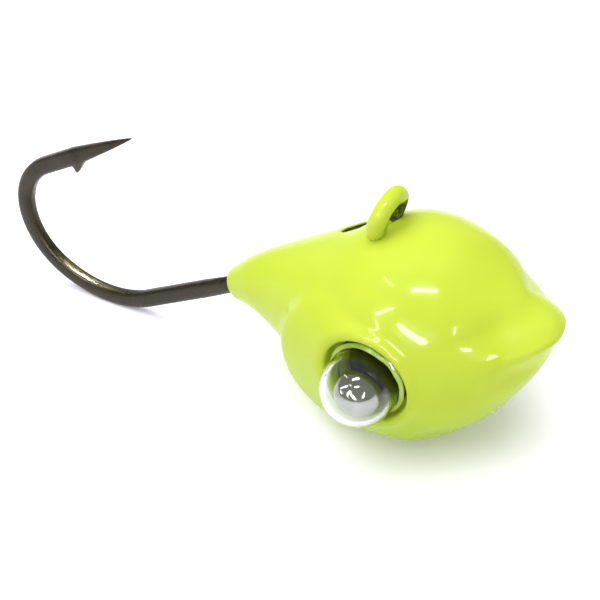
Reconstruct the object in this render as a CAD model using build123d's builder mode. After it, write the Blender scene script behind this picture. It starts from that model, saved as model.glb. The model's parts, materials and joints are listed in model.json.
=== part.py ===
from build123d import *
from math import cos, sin, radians
import os

# Rattle jig head, millimetres.
# Each piece is drawn in the hook's frame: X runs forward along the shank towards the nose,
# Y runs across the head along the rattle capsule, Z points to the eye's side, and the origin
# is the middle of the capsule. The last section tips the jig nose up, to the way it rests on
# its belly and on the bend of its hook, and puts the origin on the floor under its middle.

rest_pitch = 27.7

# Hook: forged wire
wire_diameter = 1.05
forged_width = 0.95
forged_height = 1.3
shank_height = 5.0
shank_exit = -13.8
shank_run = 9.45
bend_radius = 8.1
bend_turn = 57.6
throat_radius = 5.4
throat_turn = 120.7
point_arm = 3.7
point_length = 6.2
point_tip_radius = 0.06
barb_length = 1.9
barb_rise = 0.6
barb_width = 0.45
barb_lean = 0.48
barb_root_back = 0.3
barb_root_front = 0.25
barb_sink = 0.1

# Line eye: a ring across the hook's plane, on a stem that leans forward
eye_lean = 44
eye_ring_radius = 1.4
eye_centre = (2.26, 8.14)
eye_coat_thickness = 0.08
eye_hole_radius = 0.85
eye_hole_depth = 4

# Head form: x, height of the top line, height of the belly line, half width
head_sections = [
    (-13.8, 6.00, 4.00, 1.00),
    (-13.0, 6.25, 3.65, 1.25),
    (-11.0, 6.70, 2.10, 2.15),
    (-7.4, 6.95, -2.70, 4.00),
    (-2.6, 7.10, -7.60, 6.30),
    (2.2, 7.10, -7.85, 6.90),
    (6.0, 5.30, -5.90, 5.30),
    (8.6, 2.00, -3.90, 3.00),
    (10.2, 0.00, -2.40, 1.55),
]
coat_thickness = 0.15
end_fillet = 0.45

# Level flat under the belly, on which the head stands: its depth below the capsule's middle
belly_flat_depth = 7.96

# Nose lip: a flat rounded bill round the front of the head
lip_height = -1.6
lip_thickness = 1.3
lip_centre = 6.9
lip_length = 3.95
lip_half_width = 3.7
lip_fillet = 0.5

# Cheeks: a raised round boss about each end of the capsule
cheek_centre_x = -2.3
cheek_centre_z = 0.3
cheek_length = 5.4
cheek_height = 4.9
cheek_shoulder = 4.4
cheek_face = 6.6
cheek_face_radius = 3.75

# Rattle capsule: sealed glass tube with round ends
capsule_radius = 2.5
capsule_length = 20.0
capsule_wall = 0.5
bore_radius = 2.6
bore_mouth_radius = 3.05
bore_mouth_depth = 0.55
bore_overrun = 2
glue_length = 1.2

# Steel shot: one lies in the near end of the capsule, and the rest in a row at the far end
shot_count = 5
shot_diameter = 3.175
shot_gap = 0.025
shot_clearance = 0.02

# Bare pocket in the back, behind the eye's stem
pocket_centre = (-1.75, 0.85)
pocket_length = 2.6
pocket_width = 1.4
pocket_floor = 6.3
pocket_reach = 3
pocket_flare = 8


def across(x, z):
    """Plane across the head at one place along the shank."""
    return Plane(origin=(x, 0, z), x_dir=(0, 1, 0), z_dir=(1, 0, 0))


def across_head(y):
    """Plane along the head at one place across it: its own x runs up and its y forward."""
    return Plane(origin=(0, y, 0), x_dir=(0, 0, 1), z_dir=(0, 1, 0))


side_plane = Plane.XZ


def head_form(grow):
    """Outer form of the head, larger all round by grow."""
    first = head_sections[0][0]
    last = head_sections[-1][0]
    with BuildPart() as form:
        for x, top, belly, half_width in head_sections:
            shift = -grow if x == first else grow if x == last else 0
            with BuildSketch(across(x + shift, (top + belly) / 2)):
                Ellipse(half_width + grow, (top - belly) / 2 + grow)
        loft()
        ends = form.faces().filter_by(GeomType.PLANE)
        fillet(ends.edges(), end_fillet)
    return form.part


def cheek_form(grow):
    """Both cheeks: an oval plate behind, drawn in to a round face about the capsule."""
    with BuildPart() as cheeks:
        with BuildSketch(across_head(0)):
            with Locations((cheek_centre_z, cheek_centre_x)):
                Ellipse(cheek_height + grow, cheek_length + grow)
        extrude(amount=cheek_shoulder)
        with BuildSketch(across_head(cheek_shoulder)):
            with Locations((cheek_centre_z, cheek_centre_x)):
                Ellipse(cheek_height + grow, cheek_length + grow)
        with BuildSketch(across_head(cheek_face + grow)):
            Circle(cheek_face_radius + grow)
        loft()
        mirror(about=Plane.XZ)
    return cheeks.part


def lip_form(grow):
    """Nose lip, a rounded elliptic plate level with the shank."""
    with BuildPart() as lip:
        with BuildSketch(Plane.XY.offset(lip_height - lip_thickness / 2 - grow)):
            with Locations((lip_centre, 0)):
                Ellipse(lip_length + grow, lip_half_width + grow)
        extrude(amount=lip_thickness + 2 * grow)
        fillet(lip.edges(), lip_fillet)
    return lip.part


def outer_form(grow):
    """Head, cheeks and lip together, cut level where the belly stands on the floor."""
    floor = Plane.XY.rotated((0, rest_pitch, 0)).offset(coat_thickness - grow - belly_flat_depth)
    with BuildPart() as whole:
        add(head_form(grow))
        add(cheek_form(grow))
        add(lip_form(grow))
        split(bisect_by=floor, keep=Keep.TOP)
    return whole.part


# Where the eye's stem and ring lie
eye_direction = (sin(radians(90 - eye_lean)), cos(radians(90 - eye_lean)))
eye_rise = eye_centre[1] - shank_height
eye_foot_x = eye_centre[0] - eye_rise * eye_direction[0] / eye_direction[1]
eye_origin = (eye_centre[0], 0, eye_centre[1])
eye_normal = (-eye_direction[1], 0, eye_direction[0])
eye_plane = Plane(origin=eye_origin, x_dir=(0, 1, 0), z_dir=eye_normal)
stem_length = eye_rise / eye_direction[1] - eye_ring_radius
stem_plane = Plane(
    origin=(eye_foot_x, 0, shank_height),
    x_dir=(0, 1, 0),
    z_dir=(eye_direction[0], 0, eye_direction[1]),
)


def hook_path():
    """Centre line of the hook from the foot of the eye's stem to the start of the point."""
    foot = (eye_foot_x, shank_height)
    with BuildLine(side_plane) as path:
        shank = Line(foot, (shank_exit - shank_run, shank_height))
        bend = JernArc(shank @ 1, shank % 1, bend_radius, -bend_turn)
        throat = JernArc(bend @ 1, bend % 1, throat_radius, -throat_turn)
        Line(throat @ 1, throat @ 1 + (throat % 1) * point_arm)
    return path.line


def eye_form(radius):
    """Ring and stem of the line eye in round stock of one radius."""
    with BuildPart() as eye:
        ring_section = Plane(origin=eye_plane.origin, x_dir=eye_plane.x_dir, z_dir=eye_plane.y_dir)
        with BuildSketch(ring_section):
            with Locations((eye_ring_radius, 0)):
                Circle(radius)
        revolve(axis=Axis(eye_plane.origin, eye_plane.z_dir))
        with BuildSketch(stem_plane):
            Circle(radius)
        extrude(amount=stem_length)
    return eye.part


# Hook: forged bend and shank, round eye, tapered point and barb
route = hook_path()
tip_start = route @ 1
tip_direction = route % 1
with BuildPart() as hook:
    with BuildSketch(across(eye_foot_x, shank_height)):
        Ellipse(forged_width / 2, forged_height / 2)
    sweep(path=route)
    with BuildSketch(Plane(origin=tip_start, x_dir=(0, 1, 0), z_dir=tip_direction)):
        Ellipse(forged_width / 2, forged_height / 2)
    with BuildSketch(
        Plane(origin=tip_start + tip_direction * point_length, x_dir=(0, 1, 0), z_dir=tip_direction)
    ):
        Circle(point_tip_radius)
    loft()
    add(eye_form(wire_diameter / 2))
    with Locations((eye_foot_x, 0, shank_height)):
        Sphere(forged_height / 2)
    barb_root = tip_start - tip_direction * barb_root_back
    inner_side = barb_root - Vector(0, 0, forged_height / 2 - barb_sink)
    with BuildSketch(Plane.XZ.offset(-barb_width / 2)):
        with BuildLine():
            Polyline(
                (inner_side.X - barb_lean, inner_side.Z - barb_rise),
                (inner_side.X + barb_length, inner_side.Z + barb_sink),
                (inner_side.X + barb_root_front, inner_side.Z + barb_sink),
                close=True,
            )
        make_face()
    extrude(amount=barb_width)

# Lead head: cast round the hook, bored across for the capsule
with BuildPart() as bore_tool:
    with BuildSketch(Plane.XY):
        with BuildLine():
            Polyline(
                (0, 0),
                (bore_radius, 0),
                (bore_radius, cheek_face - bore_mouth_depth),
                (bore_mouth_radius, cheek_face),
                (bore_mouth_radius, cheek_face + bore_overrun),
                (0, cheek_face + bore_overrun),
                close=True,
            )
        make_face()
    revolve(axis=Axis.Y)
    mirror(about=Plane.XZ)

with BuildPart() as pocket_tool:
    with BuildSketch(Plane.XY.offset(pocket_floor)):
        with Locations(pocket_centre):
            SlotOverall(pocket_length, pocket_width)
    extrude(amount=pocket_reach, taper=-pocket_flare)

with BuildPart() as head_casting:
    add(outer_form(0))
    add(bore_tool.part, mode=Mode.SUBTRACT)
    add(pocket_tool.part, mode=Mode.SUBTRACT)
    add(hook.part, mode=Mode.SUBTRACT)

# Paint: one skin over the head, open at the capsule and at the pocket
with BuildPart() as powder_coat:
    add(outer_form(coat_thickness))
    add(outer_form(0), mode=Mode.SUBTRACT)
    add(bore_tool.part, mode=Mode.SUBTRACT)
    add(pocket_tool.part, mode=Mode.SUBTRACT)
    add(eye_form(wire_diameter / 2 + eye_coat_thickness), mode=Mode.SUBTRACT)
    add(hook.part, mode=Mode.SUBTRACT)

# Paint on the eye, outside the head
with BuildPart() as eye_coat:
    add(eye_form(wire_diameter / 2 + eye_coat_thickness))
    with BuildSketch(eye_plane.offset(-eye_hole_depth / 2)):
        Circle(eye_hole_radius)
    extrude(amount=eye_hole_depth, mode=Mode.SUBTRACT)
    add(hook.part, mode=Mode.SUBTRACT)
    add(outer_form(0), mode=Mode.SUBTRACT)

# Rattle capsule: hollow, sealed
capsule_end = capsule_length / 2 - capsule_radius
with BuildPart() as rattle_capsule:
    with Locations((0, 0, 0)):
        Cylinder(capsule_radius, 2 * capsule_end, rotation=(90, 0, 0))
    with Locations((0, capsule_end, 0), (0, -capsule_end, 0)):
        Sphere(capsule_radius)
    inner_radius = capsule_radius - capsule_wall
    with Locations((0, 0, 0)):
        Cylinder(inner_radius, 2 * capsule_end, rotation=(90, 0, 0), mode=Mode.SUBTRACT)
    with Locations((0, capsule_end, 0), (0, -capsule_end, 0)):
        Sphere(inner_radius, mode=Mode.SUBTRACT)


def glue_ring(start):
    """Clear glue in the gap round the capsule."""
    with BuildPart() as ring:
        with BuildSketch(across_head(start)):
            Circle(bore_radius)
            Circle(capsule_radius, mode=Mode.SUBTRACT)
        extrude(amount=glue_length)
    return ring.part


def shot(index):
    """One steel ball, resting on the low side of the tube."""
    drop = capsule_radius - capsule_wall - shot_diameter / 2 - shot_clearance
    pitch = shot_diameter + shot_gap
    y = -capsule_end if index == 0 else capsule_end - (shot_count - 1 - index) * pitch
    with BuildPart() as ball:
        with Locations((-drop * sin(radians(rest_pitch)), y, -drop * cos(radians(rest_pitch)))):
            Sphere(shot_diameter / 2)
    return ball.part


glue_start = cheek_face - bore_mouth_depth - glue_length
pieces = {
    "head_casting": head_casting.part,
    "powder_coat": powder_coat.part,
    "eye_coat": eye_coat.part,
    "hook": hook.part,
    "rattle_capsule": rattle_capsule.part,
    "glue_ring_near": glue_ring(-glue_start - glue_length),
    "glue_ring_far": glue_ring(glue_start),
}
for index in range(shot_count):
    pieces[f"shot_{index + 1}"] = shot(index)

# Rest the jig on the floor and write each piece
tipped = Rot(0, -rest_pitch, 0)
box = Compound([tipped * piece for piece in pieces.values()]).bounding_box()
centre = box.center()
rest = Pos(-centre.X, -centre.Y, -box.min.Z) * tipped
os.makedirs("parts", exist_ok=True)
for name, piece in pieces.items():
    placed = rest * piece
    placed.label = name
    export_step(placed, f"parts/{name}.step")
print("origin shift", -centre.X, -centre.Y, -box.min.Z)
print("size", box.size)
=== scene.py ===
import bpy
import bmesh
import json
import math
from mathutils import Matrix, Vector, noise


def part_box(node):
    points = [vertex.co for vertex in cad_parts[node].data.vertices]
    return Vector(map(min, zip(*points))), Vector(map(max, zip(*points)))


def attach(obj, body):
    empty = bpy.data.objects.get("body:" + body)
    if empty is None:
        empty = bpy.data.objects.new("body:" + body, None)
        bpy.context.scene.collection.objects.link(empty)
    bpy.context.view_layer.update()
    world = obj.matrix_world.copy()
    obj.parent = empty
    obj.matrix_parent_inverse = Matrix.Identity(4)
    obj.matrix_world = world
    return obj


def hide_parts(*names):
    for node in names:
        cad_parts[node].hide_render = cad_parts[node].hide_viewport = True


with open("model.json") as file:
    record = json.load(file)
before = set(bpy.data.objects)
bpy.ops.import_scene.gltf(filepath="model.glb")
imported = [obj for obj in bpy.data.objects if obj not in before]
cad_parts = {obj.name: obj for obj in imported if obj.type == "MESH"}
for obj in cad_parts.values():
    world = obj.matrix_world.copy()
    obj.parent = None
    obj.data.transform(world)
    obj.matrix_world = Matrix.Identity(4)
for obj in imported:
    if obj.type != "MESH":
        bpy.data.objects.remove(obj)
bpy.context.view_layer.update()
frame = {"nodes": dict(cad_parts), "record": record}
print("frame loaded:", len(frame["nodes"]), "nodes")

# Pieces are shaped in millimetres in the hook's own frame: X forward along the shank, Y across the
# head along the glass tube, Z to the line eye's side, from the middle of the tube. jigFrame takes
# them to where the jig rests.
mm = 0.001
weld = 1e-4
mounts = {mount["name"]: mount for mount in frame["record"]["mounts"]}
shankBack = Vector(mounts["bait_shank"]["axis"])
restPitch = math.atan2(-shankBack.z, -shankBack.x)
tubeLow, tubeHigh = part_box("rattle_capsule")
tubeMiddle = (Vector(tubeLow) + Vector(tubeHigh)) / 2
jigFrame = Matrix.Translation(tubeMiddle) @ Matrix.Rotation(-restPitch, 4, "Y") @ Matrix.Scale(mm, 4)
toHookFrame = jigFrame.inverted()


def smooth(low, high, value):
    t = min(max((value - low) / (high - low), 0.0), 1.0)
    return t * t * (3 - 2 * t)


def mix(a, b, t):
    return a + (b - a) * t


def softMax(a, b, width):
    h = max(width - abs(a - b), 0.0) / width
    return max(a, b) + h * h * width / 4


def hill(value, middle, width):
    return math.exp(-((value - middle) / width) ** 2)


def signedPower(value, power):
    return math.copysign(abs(value) ** power, value)


def curveAt(rows, x):
    # a smooth curve through rows of (x, values...), with the slope taken from the neighbours
    if x <= rows[0][0]:
        return rows[0][1:]
    if x >= rows[-1][0]:
        return rows[-1][1:]
    i = max(k for k in range(len(rows) - 1) if rows[k][0] <= x)
    a, b = rows[i], rows[i + 1]
    before = rows[max(i - 1, 0)]
    after = rows[min(i + 2, len(rows) - 1)]
    span = b[0] - a[0]
    t = (x - a[0]) / span
    values = []
    for k in range(1, len(a)):
        slopeA = (b[k] - before[k]) / (b[0] - before[0])
        slopeB = (after[k] - a[k]) / (after[0] - a[0])
        values.append(
            (2 * t**3 - 3 * t**2 + 1) * a[k]
            + (t**3 - 2 * t**2 + t) * span * slopeA
            + (3 * t**2 - 2 * t**3) * b[k]
            + (t**3 - t**2) * span * slopeB
        )
    return values


def cleanSurface(bm):
    # welds what lies together and turns the faces outwards
    bmesh.ops.remove_doubles(bm, verts=bm.verts, dist=weld)
    bmesh.ops.recalc_face_normals(bm, faces=bm.faces)


def finishPiece(bm, name, material, body, node):
    # puts a shaped piece in its place, with its finish, body and the CAD node that it stands for
    bmesh.ops.transform(bm, matrix=jigFrame, verts=bm.verts)
    for face in bm.faces:
        face.smooth = True
    mesh = bpy.data.meshes.new(name)
    bm.to_mesh(mesh)
    bm.free()
    piece = bpy.data.objects.new(name, mesh)
    bpy.context.collection.objects.link(piece)
    mesh.materials.append(material)
    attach(piece, body)
    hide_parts(node)
    return piece


def newGroup(name, inputs, outputs):
    group = bpy.data.node_groups.new(name, "ShaderNodeTree")
    for label, kind, value in inputs:
        socket = group.interface.new_socket(label, in_out="INPUT", socket_type=kind)
        socket.default_value = value
    for label, kind in outputs:
        group.interface.new_socket(label, in_out="OUTPUT", socket_type=kind)
    return group, group.nodes.new("NodeGroupInput"), group.nodes.new("NodeGroupOutput")


def addNode(tree, kind, values=None, **settings):
    node = tree.nodes.new(kind)
    for key, value in settings.items():
        setattr(node, key, value)
    for key, value in (values or {}).items():
        node.inputs[key].default_value = value
    return node


def mixColour(tree, factor, a, b):
    node = addNode(tree, "ShaderNodeMix", data_type="RGBA")
    # a colour mix has its factor, first and second colour at these places
    for place, value in ((0, factor), (6, a), (7, b)):
        if isinstance(value, bpy.types.NodeSocket):
            tree.links.new(value, node.inputs[place])
        else:
            node.inputs[place].default_value = value
    return node.outputs[2]


def ranged(tree, value, given, wanted=(0, 1)):
    # takes a value from one range to another, easing at both ends
    ends = {"From Min": given[0], "From Max": given[1], "To Min": wanted[0], "To Max": wanted[1]}
    node = addNode(tree, "ShaderNodeMapRange", ends, interpolation_type="SMOOTHSTEP")
    tree.links.new(value, node.inputs["Value"])
    return node.outputs["Result"]


def makeSurfaceNoise():
    # broad and fine variation of a surface, with the pattern's size in waves per metre
    group, given, out = newGroup(
        "surfaceNoise",
        [("Vector", "NodeSocketVector", (0, 0, 0)), ("Broad", "NodeSocketFloat", 200.0),
         ("Fine", "NodeSocketFloat", 3000.0)],
        [("Broad", "NodeSocketFloat"), ("Fine", "NodeSocketFloat"), ("Specks", "NodeSocketFloat")],
    )
    for label in ("Broad", "Fine"):
        waves = addNode(group, "ShaderNodeTexNoise", {"Detail": 3.0, "Roughness": 0.55})
        group.links.new(given.outputs["Vector"], waves.inputs["Vector"])
        group.links.new(given.outputs[label], waves.inputs["Scale"])
        group.links.new(waves.outputs["Fac"], out.inputs[label])
    cells = addNode(group, "ShaderNodeTexVoronoi", {"Randomness": 1.0}, feature="F1")
    group.links.new(given.outputs["Vector"], cells.inputs["Vector"])
    group.links.new(given.outputs["Fine"], cells.inputs["Scale"])
    group.links.new(cells.outputs["Distance"], out.inputs["Specks"])
    return group


surfaceNoise = makeSurfaceNoise()


def newMaterial(name, sockets):
    material = bpy.data.materials.new(name)
    material.use_nodes = True
    tree = material.node_tree
    shader = tree.nodes["Principled BSDF"]
    for socket, value in sockets.items():
        shader.inputs[socket].default_value = value
    return material, tree, shader


def placeNoise(tree, look):
    # the surface noise on the object's own coordinates, and those coordinates
    coords = addNode(tree, "ShaderNodeTexCoord").outputs["Object"]
    grain = addNode(tree, "ShaderNodeGroup", node_tree=surfaceNoise)
    grain.inputs["Broad"].default_value = look["broad"]
    grain.inputs["Fine"].default_value = look["fine"]
    tree.links.new(coords, grain.inputs["Vector"])
    return grain.outputs, coords


def addBump(tree, shader, height, strength, distance):
    bump = addNode(tree, "ShaderNodeBump", {"Strength": strength, "Distance": distance})
    tree.links.new(height, bump.inputs["Height"])
    tree.links.new(bump.outputs["Normal"], shader.inputs["Normal"])


paintLook = {
    "broad": 160.0, "fine": 2600.0,
    "deep": (0.465, 0.575, 0.042, 1), "pale": (0.49, 0.595, 0.050, 1), "drift": (0.35, 0.65),
    # painted shade: darker and greener towards the belly, fading out between two heights in metres
    "belly": (0.33, 0.49, 0.014, 1), "bellyShadeToBack": (0.0005, 0.0115),
    # where the paint is missing in specks, showing bare wire; on the line eye this dark tone is also painted
    # shade inside the ring
    "bareAndShade": (0.020, 0.026, 0.008, 1), "bareAndShadeLight": (0.16, 0.20, 0.03, 1), "bareAndShadeDrift": (0.4, 0.7),
    "specks": -0.55, "bareAndShadeEdge": (0.12, 0.42),
    # the bare and painted-shade places are rougher than the paint
    "roughness": (0.22, 0.7),  # painted, bare
    "bump": ("Broad", 0.05, 0.0004),
    "sockets": {
        "Specular IOR Level": 0.06, "Coat Weight": 0.13, "Coat Roughness": 0.035,
        # painted glow: the paint gives off a faint light of its own, standing in for its fluorescence
        "Emission Color": (0.50, 0.60, 0.020, 1), "Emission Strength": 0.05,
    },
}


def makePaint(name, look):
    material, tree, shader = newMaterial(name, look["sockets"])
    grain, coords = placeNoise(tree, look)
    parts = addNode(tree, "ShaderNodeSeparateXYZ")
    tree.links.new(coords, parts.inputs["Vector"])
    tone = mixColour(tree, ranged(tree, grain["Broad"], look["drift"]), look["deep"], look["pale"])
    # painted shade: the paint's tone darkens towards the belly, by height
    tone = mixColour(tree, ranged(tree, parts.outputs["Z"], look["bellyShadeToBack"]), look["belly"], tone)
    # the line eye's dark mottle: bare wire, and painted shade laid inside the ring
    bareAndShadeMask = addNode(tree, "ShaderNodeAttribute", attribute_name="bareAndShade")
    mottled = addNode(tree, "ShaderNodeMath", {1: look["specks"]}, operation="MULTIPLY_ADD")
    tree.links.new(grain["Specks"], mottled.inputs[0])
    tree.links.new(bareAndShadeMask.outputs["Fac"], mottled.inputs[2])
    mask = ranged(tree, mottled.outputs[0], look["bareAndShadeEdge"])
    bareAndShadeDrift = ranged(tree, grain["Fine"], look["bareAndShadeDrift"])
    bareAndShadeTone = mixColour(tree, bareAndShadeDrift, look["bareAndShade"], look["bareAndShadeLight"])
    tree.links.new(mixColour(tree, mask, tone, bareAndShadeTone), shader.inputs["Base Color"])
    tree.links.new(ranged(tree, mask, (0, 1), look["roughness"]), shader.inputs["Roughness"])
    label, strength, distance = look["bump"]
    addBump(tree, shader, grain[label], strength, distance)
    return material


wireLook = {
    "broad": 420.0, "fine": 5200.0,
    "dark": (0.015, 0.012, 0.002, 1), "light": (0.030, 0.023, 0.005, 1), "drift": (0.35, 0.68),
    "worn": (0.080, 0.060, 0.018, 1), "wornOver": (0.60, 0.80), "wornShare": (0, 0.6),
    "glossOver": (0.3, 0.7), "roughness": (0.26, 0.42), "bump": ("Fine", 0.25, 0.00004),
    "sockets": {"Metallic": 0.75, "Coat Weight": 0.12, "Coat Roughness": 0.12},
}
leadLook = {
    "broad": 500.0, "fine": 4200.0,
    "dark": (0.022, 0.026, 0.012, 1), "light": (0.070, 0.078, 0.040, 1), "drift": (0.35, 0.65),
    "glossOver": (0.3, 0.7), "roughness": (0.45, 0.7), "bump": ("Fine", 0.5, 0.00008),
    "sockets": {"Metallic": 0.5},
}
glassLook = {
    "broad": 260.0, "fine": 2400.0,
    "dark": (0.79, 0.835, 0.775, 1), "light": (0.82, 0.86, 0.805, 1), "drift": (0.3, 0.7),
    "glossOver": (0.5, 0.8), "roughness": (0.0, 0.03), "bump": ("Broad", 0.05, 0.0003),
    "sockets": {"Transmission Weight": 1.0, "IOR": 1.5},
}
glueLook = {
    "broad": 500.0, "fine": 2400.0,
    "dark": (0.40, 0.58, 0.05, 1), "light": (0.52, 0.70, 0.14, 1), "drift": (0.3, 0.7),
    "glossOver": (0.3, 0.8), "roughness": (0.06, 0.16), "bump": ("Broad", 0.3, 0.0002),
    "sockets": {"Transmission Weight": 0.1, "IOR": 1.45},
}
steelLook = {
    "broad": 700.0, "fine": 5200.0,
    "dark": (0.40, 0.41, 0.38, 1), "light": (0.50, 0.51, 0.48, 1), "drift": (0.3, 0.7),
    "glossOver": (0.3, 0.7), "roughness": (0.05, 0.16), "bump": ("Broad", 0.08, 0.0001),
    "sockets": {"Metallic": 1.0},
}


def makeFinish(name, look):
    # drifts between two tones, with its gloss broken up by a finer grain
    material, tree, shader = newMaterial(name, look["sockets"])
    grain, _ = placeNoise(tree, look)
    tone = mixColour(tree, ranged(tree, grain["Broad"], look["drift"]), look["dark"], look["light"])
    if "worn" in look:
        worn = ranged(tree, grain["Fine"], look["wornOver"], look["wornShare"])
        tone = mixColour(tree, worn, tone, look["worn"])
    tree.links.new(tone, shader.inputs["Base Color"])
    gloss = ranged(tree, grain["Fine"], look["glossOver"], look["roughness"])
    tree.links.new(gloss, shader.inputs["Roughness"])
    label, strength, distance = look["bump"]
    addBump(tree, shader, grain[label], strength, distance)
    return material


paintFinish = makePaint("chartreusePaint", paintLook)
wireFinish = makeFinish("bronzeWire", wireLook)
leadFinish = makeFinish("castLead", leadLook)
glassFinish = makeFinish("clearGlass", glassLook)
glueFinish = makeFinish("clearGlue", glueLook)
steelFinish = makeFinish("polishedSteel", steelLook)
print("materials made")

headShape = {
    # x, top line, belly line, half width
    "stations": [
        (-13.9, 6.15, 3.88, 1.12),
        (-13.0, 6.38, 3.52, 1.40),
        (-11.0, 6.83, 1.97, 2.30),
        (-7.4, 7.08, -2.85, 4.10),
        (-2.6, 7.20, -7.72, 6.55),
        (2.2, 7.22, -7.45, 6.95),
        (6.0, 5.05, -5.75, 5.20),
        (8.6, 1.30, -4.15, 2.90),
        (10.8, -0.95, -2.80, 1.40),
    ],
    # 2 is an oval section, more is squarer; it changes below the middle and again to the rear
    "square": 2.06, "squareBelow": 1.92, "squareBelowRear": 2.35,
    "belowOver": (0.0, 0.6), "rearOver": (0.5, -4.0),
    "rearRound": 0.42, "noseStart": 8.9, "noseEnd": 10.55,
    # shares of the way from pole to pole: rear disc, its rounded edge, start of the nose
    "discEnd": 0.025, "rearEnd": 0.06, "noseFrom": 0.88,
    "segments": 208, "rings": 170,
    "paintThickness": 0.13, "underPaint": 0.15,
    "floorGap": 0.02, "bellyBlend": 0.3,
}
cheekShape = {
    "x": -2.45, "z": 0.1, "length": 5.62, "height": 5.3,
    "shoulder": 4.9, "face": 6.74, "faceRadius": 3.7, "steep": 17.0, "blend": 0.45,
    "fall": 0.72, "roundness": 0.85, "facingOver": (0.12, 0.5),
    # smoothed between these places, further out than this
    "softFrom": -9.5, "softTo": 4.5, "softOut": 1.5, "softRounds": 3,
}
lipShape = {
    "x": 6.7, "length": 3.92, "halfWidth": 3.5, "height": -1.6, "fall": 0.2, "fallFrom": 7.0,
    "thick": 0.52, "rimOver": (3.5, 8.0),
    "hollow": 0.45, "hollowOver": (5.0, 9.0),
    # the hollows beside the rim: height over it, width, share
    "hollows": [(1.9, 1.0, 1.0), (-1.6, 0.8, 0.5)],
}
# dents and swells: x, y, z, radius, depth (negative swells)
dents = [
    (5.2, -5.4, 1.2, 2.2, 0.12),
    (5.2, 5.4, 1.2, 2.2, 0.22),
    (-9.5, -2.6, 4.6, 1.8, 0.10),
    (1.0, -4.6, -6.4, 0.8, 0.14),
    (8.0, 0.0, 2.6, 1.8, 0.12),
    (7.3, -3.7, -2.1, 1.3, -0.22),
    (7.3, 3.7, -2.1, 1.3, -0.22),
]
dentReach = 2.5  # in radii, past which a dent no longer shows
restHeight = tubeMiddle.z / mm - headShape["floorGap"]
floorUp = Vector((math.sin(restPitch), 0, math.cos(restPitch)))


def meridian(s):
    # place along the head and the share of the full section there, from rear pole to nose pole
    shape = headShape
    rear, top, belly = shape["stations"][0][:3]
    discShare = 1 - shape["rearRound"] / ((top - belly) / 2)
    if s < shape["discEnd"]:
        return rear, discShare * s / shape["discEnd"]
    if s < shape["rearEnd"]:
        turn = (s - shape["discEnd"]) / (shape["rearEnd"] - shape["discEnd"]) * math.pi / 2
        return rear + shape["rearRound"] * (1 - math.cos(turn)), mix(discShare, 1, math.sin(turn))
    if s < shape["noseFrom"]:
        along = (s - shape["rearEnd"]) / (shape["noseFrom"] - shape["rearEnd"])
        return mix(rear + shape["rearRound"], shape["noseStart"], along), 1.0
    turn = (s - shape["noseFrom"]) / (1 - shape["noseFrom"]) * math.pi / 2
    return mix(shape["noseStart"], shape["noseEnd"], math.sin(turn)), math.cos(turn)


def cheekHeight(x, z):
    shape = cheekShape
    oval = math.hypot((x - shape["x"]) / shape["length"], (z - shape["z"]) / shape["height"])
    face = math.hypot(x, z) / shape["faceRadius"]
    if face <= 1:
        return shape["face"]
    if oval < 1:
        share = (1 - oval) / ((1 - oval) + shape["fall"] * (face - 1))
        return mix(shape["shoulder"], shape["face"], share ** shape["roundness"])
    return shape["shoulder"] - (oval - 1) * shape["steep"]


def lipPush(point):
    # the bill round the nose: pulls the surface out to its rim, and in above and below it
    shape = lipShape
    along = point.x - shape["x"]
    reach = math.hypot(along, point.y)
    if reach == 0:
        return point
    rim = 1 / math.hypot(along / reach / shape["length"], point.y / reach / shape["halfWidth"])
    level = shape["height"] - shape["fall"] * (point.x - shape["fallFrom"])
    crest = hill(point.z, level, shape["thick"])
    push = max(rim - reach, 0) * crest * smooth(*shape["rimOver"], point.x)
    beside = sum(share * hill(point.z, level + rise, width) for rise, width, share in shape["hollows"])
    push -= shape["hollow"] * beside * smooth(*shape["hollowOver"], point.x)
    return Vector((point.x + along / reach * push, point.y + point.y / reach * push, point.z))


def headPoint(unit):
    # a point of a unit ball, poles on X, carried to the head's surface
    shape = headShape
    s = math.acos(max(-1.0, min(1.0, -unit.x))) / math.pi
    x, share = meridian(s)
    top, belly, half = curveAt(shape["stations"], x)
    across = math.hypot(unit.y, unit.z)
    cosine, sine = (unit.y / across, unit.z / across) if across > 1e-6 else (1.0, 0.0)
    below = mix(shape["squareBelow"], shape["squareBelowRear"], smooth(*shape["rearOver"], x))
    power = 2 / mix(shape["square"], below, smooth(*shape["belowOver"], -sine))
    high = (top - belly) / 2
    middle = (top + belly) / 2
    y = half * share * signedPower(cosine, power)
    z = middle + high * share * signedPower(sine, power)
    # cheeks, only where the flank faces sideways
    sideways = abs(cosine) / half / math.hypot(cosine / half, sine / high)
    raised = softMax(abs(y), cheekHeight(x, z), cheekShape["blend"])
    y = math.copysign(mix(abs(y), raised, smooth(*cheekShape["facingOver"], sideways)), y)
    point = lipPush(Vector((x, y, z)))
    for dentX, dentY, dentZ, radius, depth in dents:
        away = (point - Vector((dentX, dentY, dentZ))).length / radius
        if away < dentReach:
            inward = Vector((0, -point.y, middle - point.z)).normalized()
            point += inward * depth * math.exp(-away * away)
    # the belly is level where it stands
    depth = -point.dot(floorUp)
    return point + floorUp * (softMax(depth, restHeight, shape["bellyBlend"]) - restHeight)


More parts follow.
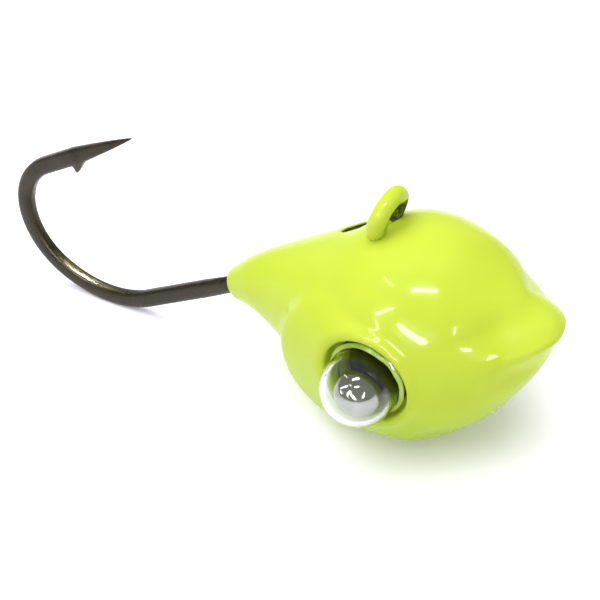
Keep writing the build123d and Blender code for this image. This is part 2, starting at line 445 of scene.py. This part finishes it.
def makeHeadSurface():
    bm = bmesh.new()
    segments, rings = headShape["segments"], headShape["rings"]
    bmesh.ops.create_uvsphere(bm, u_segments=segments, v_segments=rings, radius=1)
    bmesh.ops.rotate(bm, verts=bm.verts, cent=(0, 0, 0), matrix=Matrix.Rotation(math.pi / 2, 3, "Y"))
    for vert in bm.verts:
        vert.co = headPoint(vert.co)
    cheek = cheekShape
    flanks = [
        v for v in bm.verts
        if cheek["softFrom"] < v.co.x < cheek["softTo"] and abs(v.co.y) > cheek["softOut"]
    ]
    for _ in range(cheek["softRounds"]):
        bmesh.ops.smooth_vert(
            bm, verts=flanks, factor=0.5, use_axis_x=True, use_axis_y=True, use_axis_z=True
        )
    return bm


mouthShape = {
    "edge": 3.34, "wall": 3.04, "round": 0.24, "roundSteps": 5, "trim": 0.03,
    # further rings into the bore: radius, depth under the face
    "steps": [(3.02, 0.45), (2.98, 0.75), (2.80, 0.95), (2.62, 1.05), (2.61, 1.8)],
    # the mouth is further out than this, within this distance of the tube's axis
    "flank": 3.0, "reach": 4.5,
}


def mouthProfile():
    # rings from the rounded edge into the bore: radius, depth, share of the way to a level ring
    shape = mouthShape
    profile = []
    for k in range(1, shape["roundSteps"] + 1):
        level = k / shape["roundSteps"]
        turn = level * math.pi / 2
        radius = shape["edge"] - (shape["edge"] - shape["wall"]) * math.sin(turn)
        profile.append((radius, shape["round"] * (1 - math.cos(turn)), level))
    return profile + [(radius, depth, 1) for radius, depth in shape["steps"]]


def cutMouth(bm, side):
    shape = mouthShape
    gone = []
    for face in bm.faces:
        middle = face.calc_center_median()
        inMouth = math.hypot(middle.x, middle.z) < shape["edge"] - shape["trim"]
        if inMouth and side * middle.y > shape["flank"]:
            gone.append(face)
    bmesh.ops.delete(bm, geom=gone, context="FACES")
    loop = [
        e for e in bm.edges
        if e.is_boundary and side * e.verts[0].co.y > shape["flank"]
        and abs(e.verts[0].co.x) < shape["reach"]
    ]
    verts = {v for e in loop for v in e.verts}
    for vert in verts:
        angle = math.atan2(vert.co.z, vert.co.x)
        vert.co.x = shape["edge"] * math.cos(angle)
        vert.co.z = shape["edge"] * math.sin(angle)
    face = sum(abs(v.co.y) for v in verts) / len(verts)
    for radius, depth, level in mouthProfile():
        made = bmesh.ops.extrude_edge_only(bm, edges=loop)["geom"]
        loop = [g for g in made if isinstance(g, bmesh.types.BMEdge) and g.is_boundary]
        for vert in {v for e in loop for v in e.verts}:
            angle = math.atan2(vert.co.z, vert.co.x)
            vert.co.x = radius * math.cos(angle)
            vert.co.z = radius * math.sin(angle)
            vert.co.y = side * mix(abs(vert.co.y), face - depth, level)


pocketShape = {
    "x": -1.75, "y": 1.1, "length": 2.6, "width": 1.45,
    "above": 5.0,  # it is in the back, over this height
    "depth": 0.5, "wallOver": (-0.35, 0.12),
}


def slotDistance(x, y):
    # distance outside the pocket's outline, and the nearest point of its middle line
    shape = pocketShape
    reach = (shape["length"] - shape["width"]) / 2
    middle = min(max(x, shape["x"] - reach), shape["x"] + reach)
    return math.hypot(x - middle, y - shape["y"]) - shape["width"] / 2, middle


def cutPocket(bm):
    shape = pocketShape
    gone = []
    for face in bm.faces:
        middle = face.calc_center_median()
        if middle.z > shape["above"] and slotDistance(middle.x, middle.y)[0] < 0:
            gone.append(face)
    bmesh.ops.delete(bm, geom=gone, context="FACES")
    edges = [e for e in bm.edges if e.is_boundary and e.verts[0].co.z > shape["above"]]
    for vert in {v for e in edges for v in e.verts}:
        middle = slotDistance(vert.co.x, vert.co.y)[1]
        out = Vector((vert.co.x - middle, vert.co.y - shape["y"], 0)).normalized()
        vert.co.x = middle + out.x * shape["width"] / 2
        vert.co.y = shape["y"] + out.y * shape["width"] / 2


def makeHeadPaint():
    bm = makeHeadSurface()
    for side in (-1, 1):
        cutMouth(bm, side)
    cutPocket(bm)
    cleanSurface(bm)
    piece = finishPiece(bm, "headPaint", paintFinish, "jig", "powder_coat")
    skin = piece.modifiers.new("skin", "SOLIDIFY")
    skin.thickness = headShape["paintThickness"] * mm
    skin.offset = -1
    skin.use_even_offset = False


def makeLeadCore():
    bm = makeHeadSurface()
    for side in (-1, 1):
        cutMouth(bm, side)
    bmesh.ops.recalc_face_normals(bm, faces=bm.faces)
    bm.normal_update()
    moved = {v: v.co - v.normal * headShape["underPaint"] for v in bm.verts}
    for vert, place in moved.items():
        vert.co = place
    bmesh.ops.bridge_loops(bm, edges=[e for e in bm.edges if e.is_boundary])
    for vert in bm.verts:
        if vert.co.z > pocketShape["above"]:
            away = slotDistance(vert.co.x, vert.co.y)[0]
            vert.co.z -= pocketShape["depth"] * (1 - smooth(*pocketShape["wallOver"], away))
    cleanSurface(bm)
    finishPiece(bm, "leadCore", leadFinish, "jig", "head_casting")


makeHeadPaint()
makeLeadCore()
print("head made")

eyeShape = {
    "ring": 1.4, "tube": 0.597, "lean": 44.0, "tubeSteps": 40, "ringSteps": 96,
    "uneven": 0.03, "unevenScale": 1.3,
    "sag": 0.10, "sagOver": (0.2, 1.0),  # the paint is thicker at the foot of the ring
    # how bare and shaded it is, as bare wire with painted shade: inside the ring, on its front face, on its
    # far side, and less at its crown
    "insideOver": (0.2, 1.0), "frontOver": (-0.2, 0.6), "frontShare": 0.8,
    "farOver": (0.1, 0.6), "crownOver": (-1.0, -0.5),
}


def eyeFrame():
    lean = math.radians(eyeShape["lean"])
    rise = Vector((math.cos(lean), 0, math.sin(lean)))  # up the stem
    facing = Vector((-math.sin(lean), 0, math.cos(lean)))  # through the hole
    across = Vector((0, 1, 0))
    centre = toHookFrame @ Vector(mounts["line_tie"]["pos_m"])
    return Matrix.Translation(centre) @ Matrix((across, rise, facing)).transposed().to_4x4()


def makeEyePaint():
    shape = eyeShape
    bm = bmesh.new()
    bmesh.ops.create_circle(bm, segments=shape["tubeSteps"], radius=shape["tube"])
    bmesh.ops.rotate(bm, verts=bm.verts, cent=(0, 0, 0), matrix=Matrix.Rotation(math.pi / 2, 3, "X"))
    bmesh.ops.translate(bm, verts=bm.verts, vec=(shape["ring"], 0, 0))
    bmesh.ops.spin(
        bm, geom=bm.edges[:] + bm.verts[:], cent=(0, 0, 0), axis=(0, 0, 1), angle=2 * math.pi,
        steps=shape["ringSteps"], use_merge=True,
    )
    bareAndShadeLayer = bm.verts.layers.float.new("bareAndShade")
    for vert in bm.verts:
        turn = math.atan2(vert.co.y, vert.co.x)
        spoke = Vector((math.cos(turn), math.sin(turn), 0))
        core = spoke * shape["ring"]
        out = vert.co - core
        way = out.normalized()
        foot = smooth(*shape["sagOver"], -math.sin(turn))
        lump = shape["uneven"] * noise.noise(vert.co * shape["unevenScale"])
        inside = smooth(*shape["insideOver"], -way.dot(spoke))
        front = smooth(*shape["frontOver"], -way.z) * shape["frontShare"]
        far = smooth(*shape["farOver"], math.cos(turn))
        # painted shade over bare wire, darkest inside the far side of the ring
        vert[bareAndShadeLayer] = far * max(inside, front) * smooth(*shape["crownOver"], -math.sin(turn))
        vert.co = core + out * (1 + lump + shape["sag"] * foot)
    bmesh.ops.transform(bm, matrix=eyeFrame(), verts=bm.verts)
    cleanSurface(bm)
    finishPiece(bm, "eyePaint", paintFinish, "jig", "eye_coat")


makeEyePaint()
print("line eye made")

hookShape = {
    "height": 5.0, "start": -12.5, "exit": -13.8, "run": 9.45,
    "bend": (8.1, 57.6), "throat": (5.4, 120.7), "arm": 9.9,  # radius and degrees
    "wide": 0.94, "tall": 1.29,
    # 2 is a round section, more is squarer; forged from here on, and round again at the point
    "round": 2.0, "flat": 3.2, "forgedOver": (2.0, 5.0), "roundOver": (0.0, 3.0),
    "pointLength": 6.4, "pointTaper": 0.75,
    "ringSegments": 32, "step": 0.12,
}
# the barb is a sliver lifted from the inner side, leaning back from the point
barbShape = {
    "at": 6.75, "length": 1.1, "root": 0.22, "rise": 0.62, "lean": 0.55, "thin": 0.55,
    "innerOver": (0.35, 0.95),
}


def hookRoute():
    # places along the wire: distance, centre, direction
    shape = hookShape
    x, z, heading = shape["start"], shape["height"], math.pi
    end = shape["exit"] - shape["run"]
    runs = [(shape["start"] - end, 0.0)]
    for radius, degrees in (shape["bend"], shape["throat"]):
        runs.append((radius * math.radians(degrees), 1 / radius))
    runs.append((shape["arm"], 0.0))
    route = [(0.0, Vector((x, 0, z)), heading)]
    gone = 0.0
    for length, turn in runs:
        steps = max(2, round(length / shape["step"]))
        stride = length / steps
        for _ in range(steps):
            middle = heading - turn * stride / 2
            x += stride * math.cos(middle)
            z += stride * math.sin(middle)
            heading -= turn * stride
            gone += stride
            route.append((gone, Vector((x, 0, z)), heading))
    return route


def barbLift(left):
    # how far the barb stands out, from 0 to 1, at a distance from the point
    back = left - barbShape["at"]
    if back < 0:
        return smooth(-barbShape["length"], 0.0, back)
    return max(1 - back / barbShape["root"], 0.0)


def shapeRing(verts, angles, total, gone, centre, heading):
    # lays one ring of the wire at its place, with its section for that place
    shape = hookShape
    barb = barbShape
    left = total - gone
    size = min(1.0, left / shape["pointLength"]) ** shape["pointTaper"]
    wide = shape["wide"] / 2 * size
    tall = shape["tall"] / 2 * size
    forged = smooth(*shape["forgedOver"], gone) * smooth(*shape["roundOver"], left)
    power = 2 / mix(shape["round"], shape["flat"], forged)
    outward = Vector((-math.sin(heading), 0, math.cos(heading)))  # away from the gape
    forward = Vector((math.cos(heading), 0, math.sin(heading)))
    for vert, angle in zip(verts, angles):
        side = wide * signedPower(math.cos(angle), power)
        out = tall * signedPower(math.sin(angle), power)
        lift = barbLift(left) * smooth(*barb["innerOver"], -math.sin(angle))
        place = centre + Vector((0, 1, 0)) * side + outward * out
        place -= outward * barb["rise"] * lift + forward * barb["lean"] * lift
        place.y *= 1 - barb["thin"] * lift
        vert.co = place


def makeHook():
    route = hookRoute()
    total = route[-1][0]
    bm = bmesh.new()
    bmesh.ops.create_circle(bm, segments=hookShape["ringSegments"], radius=1)
    loop = bm.edges[:]
    ring = sorted(bm.verts, key=lambda v: math.atan2(v.co.y, v.co.x))
    angles = [math.atan2(v.co.y, v.co.x) for v in ring]
    shapeRing(ring, angles, total, *route[0])
    bmesh.ops.contextual_create(bm, geom=loop)
    for stop in route[1:-1]:
        made = bmesh.ops.extrude_edge_only(bm, edges=loop)["geom"]
        newVerts = {g for g in made if isinstance(g, bmesh.types.BMVert)}
        loop = [g for g in made if isinstance(g, bmesh.types.BMEdge) and set(g.verts) <= newVerts]
        # the new ring's corners lie on the old ones, so they pair by place
        pairs = {tuple(round(c, 6) for c in v.co): v for v in newVerts}
        ring = [pairs[tuple(round(c, 6) for c in v.co)] for v in ring]
        shapeRing(ring, angles, total, *stop)
    tip = bmesh.ops.contextual_create(bm, geom=loop)["faces"]
    bmesh.ops.poke(bm, faces=tip)
    cleanSurface(bm)
    finishPiece(bm, "hookWire", wireFinish, "jig", "hook")


makeHook()
print("hook made")

tubeShape = {"radius": 2.5, "wall": 0.34, "length": 19.988, "segments": 128, "arc": 28}


def spinProfile(bm, points, segments):
    # points are (distance from Y, place on Y)
    verts = [bm.verts.new((r, y, 0)) for r, y in points]
    edges = [bm.edges.new((a, b)) for a, b in zip(verts, verts[1:])]
    bmesh.ops.spin(
        bm, geom=verts + edges, cent=(0, 0, 0), axis=(0, 1, 0), angle=2 * math.pi, steps=segments,
        use_merge=True,
    )


def makeCapsule(radius, straight):
    steps = tubeShape["arc"]
    angles = [k / steps * math.pi / 2 for k in range(steps + 1)]
    points = [(radius * math.sin(a), -straight - radius * math.cos(a)) for a in angles]
    bm = bmesh.new()
    spinProfile(bm, points + [(r, -y) for r, y in reversed(points)], tubeShape["segments"])
    cleanSurface(bm)
    return bm


def makeTube():
    shape = tubeShape
    straight = shape["length"] / 2 - shape["radius"]
    bm = makeCapsule(shape["radius"], straight)
    inside = makeCapsule(shape["radius"] - shape["wall"], straight)
    bmesh.ops.reverse_faces(inside, faces=inside.faces)
    hollow = bpy.data.meshes.new("hollow")
    inside.to_mesh(hollow)
    inside.free()
    bm.from_mesh(hollow)
    bpy.data.meshes.remove(hollow)
    finishPiece(bm, "glassTube", glassFinish, "jig", "rattle_capsule")


glueShape = {
    "inner": 2.515, "outer": 2.74, "foot": 6.42, "top": 6.62,
    "sunk": 0.15, "tuck": 0.05, "roundness": 0.6, "steps": 8, "segments": 96,
    "wave": 0.10, "waveScale": 0.9,
}


def makeGlueRing(side, name, node):
    shape = glueShape
    inner, outer, foot, top = (shape[key] for key in ("inner", "outer", "foot", "top"))
    start = (inner, side * (foot - shape["sunk"]))
    points = [start]
    for k in range(shape["steps"] + 1):
        t = k / shape["steps"]
        points.append((mix(inner, outer, t), side * mix(top, foot, t ** shape["roundness"])))
    points += [(outer - shape["tuck"], side * (foot - shape["sunk"])), start]
    bm = bmesh.new()
    spinProfile(bm, points, shape["segments"])
    for vert in bm.verts:
        if side * vert.co.y > foot:
            vert.co.y += side * shape["wave"] * noise.noise(vert.co * shape["waveScale"])
    cleanSurface(bm)
    finishPiece(bm, name, glueFinish, "jig", node)


ballShape = {"count": 5, "subdivisions": 5}  # the radius is the CAD ball's


def makeBall(number):
    node = f"shot_{number}"
    low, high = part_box(node)
    bm = bmesh.new()
    bmesh.ops.create_icosphere(bm, subdivisions=ballShape["subdivisions"], radius=(high[2] - low[2]) / 2 / mm)
    bmesh.ops.translate(bm, verts=bm.verts, vec=toHookFrame @ ((Vector(low) + Vector(high)) / 2))
    cleanSurface(bm)
    finishPiece(bm, f"ball{number}", steelFinish, f"ball_{number}", node)


makeTube()
makeGlueRing(-1, "glueNear", "glue_ring_near")
makeGlueRing(1, "glueFar", "glue_ring_far")
for ballNumber in range(1, ballShape["count"] + 1):
    makeBall(ballNumber)
print("tube, glue and shot made")

# Cameras and lamps stand off a point of the hook's frame. Angles are in degrees and lengths in
# millimetres; azimuth 0 looks along Y, and roll turns them about the line of sight.
studio = {
    "floorHalf": 600, "world": 0.44,
    "floor": {
        "Base Color": (0.92, 0.88, 1.0, 1), "Roughness": 0.7, "Specular IOR Level": 0.2,
        "Emission Color": (1, 1, 1, 1), "Emission Strength": 0.20,
    },
}
cameraView = {
    "aim": (-5.30, -3.34, 4.70), "azimuth": 36.09, "elevation": 38.6, "roll": -5.71, "distance": 125,
    "lens": 113.8, "sensor": 36, "clip": (0.005, 5),
}
overheadLamp = {
    "aim": (0, 0, 0), "azimuth": -38.5, "elevation": 80, "roll": 38, "distance": 296.5,
    "size": (360, 360), "power": 1.50,
}
# narrow lamps seen only as bright marks in the gloss, and their radiance
stripDistance = 257
headStrips = [
    {"azimuth": 19.5, "elevation": 68.5, "roll": 15.5, "size": (85, 20), "radiance": 100},
    {"azimuth": -45.5, "elevation": 58.5, "roll": 12, "size": (60, 8), "radiance": 45},
    {"azimuth": -19.5, "elevation": 34, "roll": 45.5, "size": (100, 12), "radiance": 90},
    {"azimuth": 12.5, "elevation": 19.5, "roll": -44, "size": (110, 16), "radiance": 100},
    {"azimuth": -20.5, "elevation": 18.5, "roll": -42.5, "size": (60, 10), "radiance": 60},
    {"azimuth": 50, "elevation": 20.5, "roll": 71, "size": (48, 14), "radiance": 90},
]
hookStrip = {
    "azimuth": -169, "elevation": 82.5, "roll": 116, "size": (14.4, 2.9), "radiance": 150,
    "aim": (-28.7, -0.2, 7.9), "distance": 60, "spread": 30,
}


def makeFloor():
    bm = bmesh.new()
    bmesh.ops.create_grid(bm, x_segments=1, y_segments=1, size=studio["floorHalf"] * mm)
    mesh = bpy.data.meshes.new("floor")
    bm.to_mesh(mesh)
    bm.free()
    floor = bpy.data.objects.new("floor", mesh)
    bpy.context.collection.objects.link(floor)
    mesh.materials.append(newMaterial("paleFloor", studio["floor"])[0])


def standOff(thing, place):
    # stands a camera or a lamp off its aim, looking back at it
    azimuth, elevation, roll = (math.radians(place[key]) for key in ("azimuth", "elevation", "roll"))
    away = math.cos(elevation)
    back = Vector((math.sin(azimuth) * away, -math.cos(azimuth) * away, math.sin(elevation)))
    level = Vector((0, 0, 1)).cross(back).normalized()
    right = level * math.cos(roll) + back.cross(level) * math.sin(roll)
    turn = Matrix((right, back.cross(right), back)).transposed().to_4x4()
    spot = jigFrame @ Vector(place["aim"]) + back * place["distance"] * mm
    thing.matrix_world = Matrix.Translation(spot) @ turn
    bpy.context.collection.objects.link(thing)


def addLamp(name, place):
    light = bpy.data.lights.new(name, "AREA")
    light.shape = "RECTANGLE"
    light.size, light.size_y = (side * mm for side in place["size"])
    if "power" in place:
        light.energy = place["power"]
    else:
        light.energy = place["radiance"] * math.pi * light.size * light.size_y
    lamp = bpy.data.objects.new(name, light)
    standOff(lamp, place)
    return lamp


def makeLight():
    world = bpy.data.worlds.new("studio")
    bpy.context.scene.world = world
    world.use_nodes = True
    background = world.node_tree.nodes["Background"]
    background.inputs["Color"].default_value = (1, 1, 1, 1)
    background.inputs["Strength"].default_value = studio["world"]
    overhead = addLamp("overhead", overheadLamp)
    overhead.visible_glossy = False
    overhead.visible_transmission = False
    plain = {"aim": (0, 0, 0), "distance": stripDistance, "spread": 180}
    for number, strip in enumerate(headStrips + [hookStrip]):
        place = {**plain, **strip}
        lamp = addLamp(f"strip{number}", place)
        lamp.data.spread = math.radians(place["spread"])
        lamp.visible_diffuse = False


def makeCamera():
    optics = bpy.data.cameras.new("camera")
    optics.lens = cameraView["lens"]
    optics.sensor_width = cameraView["sensor"]
    optics.clip_start, optics.clip_end = cameraView["clip"]
    camera = bpy.data.objects.new("camera", optics)
    standOff(camera, cameraView)
    bpy.context.scene.camera = camera


makeFloor()
makeLight()
makeCamera()
bpy.context.scene.view_settings.view_transform = "Standard"
print("studio made")
